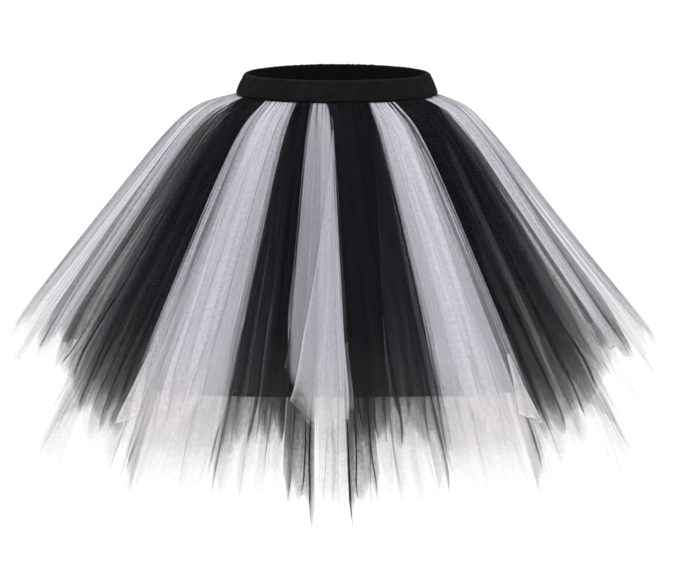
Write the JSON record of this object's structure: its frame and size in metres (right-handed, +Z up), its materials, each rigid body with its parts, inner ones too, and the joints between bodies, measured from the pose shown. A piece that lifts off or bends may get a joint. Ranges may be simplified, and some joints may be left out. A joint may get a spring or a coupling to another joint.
{
  "type": "ballet tutu",
  "caption": "Flared knee-length tulle tutu skirt with pointed layered hem, black and white strips in turn, straight slip lining and gathered elastic waistband, filled out as worn.",
  "frame": {"origin": "centre of the waistband, halfway up it, where the wearer's waist holds the skirt", "axes": "+Z up out of the waist, front facing -Y, +X to the right as the front is looked at"},
  "size_m": [0.7943, 0.6792, 0.4966],
  "materials": {
    "waistband": "matte black cotton-like casing, finely gathered over elastic",
    "lining": "smooth opaque black satin-weave slip cloth, low sheen",
    "black_tulle": "sheer soft black nylon net, fine even mesh, faint sheen on the folds",
    "white_tulle": "sheer soft white nylon net, fine even mesh, faint sheen on the folds"
  },
  "bodies": {
    "root": {"waistband": "waistband", "lining": "lining", "tulle_side_left": "white_tulle", "tulle_front_left": "black_tulle", "tulle_left": "white_tulle", "tulle_mid_left": "black_tulle", "tulle_centre": "white_tulle", "tulle_mid_right": "black_tulle", "tulle_right": "white_tulle", "tulle_front_right": "black_tulle", "tulle_side_right": "white_tulle", "tulle_back_1": "black_tulle", "tulle_back_2": "white_tulle", "tulle_back_3": "black_tulle", "tulle_back_4": "white_tulle", "tulle_back_5": "black_tulle", "tulle_back_6": "white_tulle", "tulle_back_7": "black_tulle", "under_side_left": "white_tulle", "under_front_left": "black_tulle", "under_left": "white_tulle", "under_mid_left": "black_tulle", "under_centre": "white_tulle", "under_mid_right": "black_tulle", "under_right": "white_tulle", "under_front_right": "black_tulle", "under_side_right": "white_tulle", "under_back_1": "black_tulle", "under_back_2": "white_tulle", "under_back_3": "black_tulle", "under_back_4": "white_tulle", "under_back_5": "black_tulle", "under_back_6": "white_tulle", "under_back_7": "black_tulle"}
  },
  "joints": []
}
